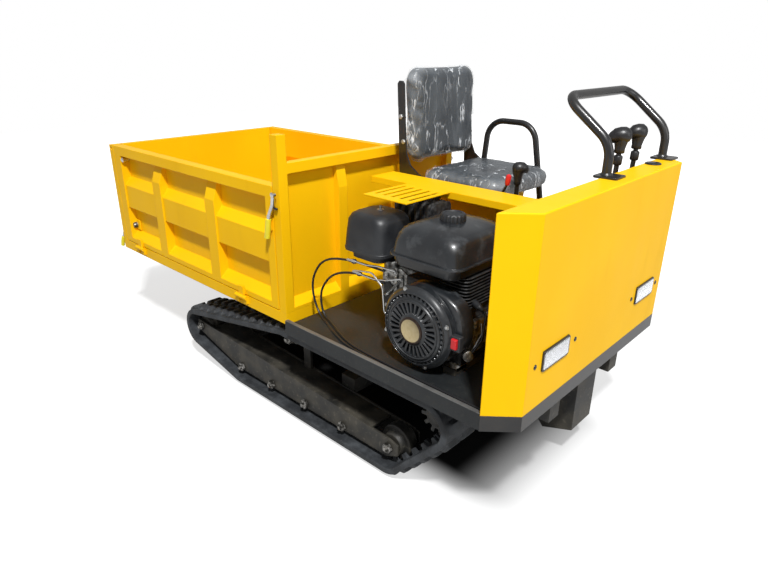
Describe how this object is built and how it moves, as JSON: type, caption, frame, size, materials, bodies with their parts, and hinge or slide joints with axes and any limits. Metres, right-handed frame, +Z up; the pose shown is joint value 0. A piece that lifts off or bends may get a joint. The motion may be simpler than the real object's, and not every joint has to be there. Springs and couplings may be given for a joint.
{
  "type": "site dumper",
  "caption": "Ride-on tracked site dumper with a tipping drop-side bed, an open side engine, an operator's seat and a chamfered front cowl.",
  "frame": {"origin": "on the ground under the middle of the machine's bounding box", "axes": "+X forward, from the bed to the cowl; +Y to the operator's left; +Z up"},
  "size_m": [2.276, 1.062, 1.306],
  "materials": {
    "black_plastic": "satin",
    "painted_black": "satin",
    "painted_yellow": "gloss",
    "dark_steel": "heat stained",
    "engine_casting": "cast",
    "cable_cover": "satin",
    "engine_black": "gloss",
    "chrome_trim": "polished",
    "lamp_glass": "clear",
    "seat_cover": "satin",
    "grip_rubber": "satin",
    "rod_chrome": "polished",
    "track_rubber": "matte"
  },
  "bodies": {
    "chassis": {"air_cleaner": "black_plastic", "base_rail": "painted_black", "belly_guard": "dark_steel", "carburettor": "engine_casting", "control_cables": "cable_cover", "cross_arms": "painted_black", "cylinder_foot": "painted_black", "deck": "painted_black", "divider": "painted_yellow", "engine_base": "painted_black", "engine_block": "engine_casting", "fan_cover": "engine_black", "front_cowl": "painted_yellow", "fuel_cap": "black_plastic", "fuel_tank": "engine_black", "gear_lever": "painted_black", "gearbox": "painted_black", "grab_bar": "painted_black", "headlamps": "lamp_glass", "heat_guard": "painted_yellow", "idlers": "painted_black", "main_frame": "painted_black", "muffler": "dark_steel", "rollers": "painted_black", "seat_backrest": "seat_cover", "seat_cushion": "seat_cover", "seat_frame": "painted_black", "seat_pedestal": "painted_yellow", "side_hoop": "painted_black", "sprockets": "painted_black", "steering_levers": "grip_rubber", "tip_brackets": "painted_black", "track_frames": "painted_black", "track_left": "track_rubber", "track_right": "track_rubber"},
    "bed": {"bed_frame": "painted_yellow", "bed_lugs": "painted_black", "headboard": "painted_yellow"},
    "gate_right": {"side_gate_right": "painted_yellow", "gate_latch_right": "chrome_trim"},
    "gate_left": {"side_gate_left": "painted_yellow", "gate_latch_left": "chrome_trim"},
    "gate_rear": {"rear_gate": "painted_yellow"},
    "barrel": {"tip_barrel": "painted_black"},
    "rod": {"tip_rod": "rod_chrome"}
  },
  "joints": [
    {"name": "bed_tip", "type": "hinge", "parent": "chassis", "child": "bed", "pos_m": [-0.886, 0, 0.374], "axis": [0, -1, 0], "range_deg": [0, 45]},
    {"name": "gate_right_drop", "type": "hinge", "parent": "bed", "child": "gate_right", "pos_m": [-0.53, -0.489, 0.446], "axis": [1, 0, 0], "range_deg": [0, 90]},
    {"name": "gate_left_drop", "type": "hinge", "parent": "bed", "child": "gate_left", "pos_m": [-0.53, 0.489, 0.446], "axis": [-1, 0, 0], "range_deg": [0, 90]},
    {"name": "gate_rear_swing", "type": "hinge", "parent": "bed", "child": "gate_rear", "pos_m": [-1.118, 0, 0.9], "axis": [0, 1, 0], "range_deg": [0, 75]},
    {"name": "barrel_swing", "type": "hinge", "parent": "chassis", "child": "barrel", "pos_m": [0.15, 0, 0.2], "axis": [0, 1, 0], "range_deg": [0, 16.77]},
    {"name": "rod_slide", "type": "slide", "parent": "barrel", "child": "rod", "axis": [-0.9462, 0, 0.3237], "range_m": [0, 0.2857]}
  ],
  "couplings": [
    {"joint": "barrel_swing", "follows": "bed_tip", "ratio": 0.37267},
    {"joint": "rod_slide", "follows": "bed_tip", "m_per_rad": 0.36376}
  ]
}
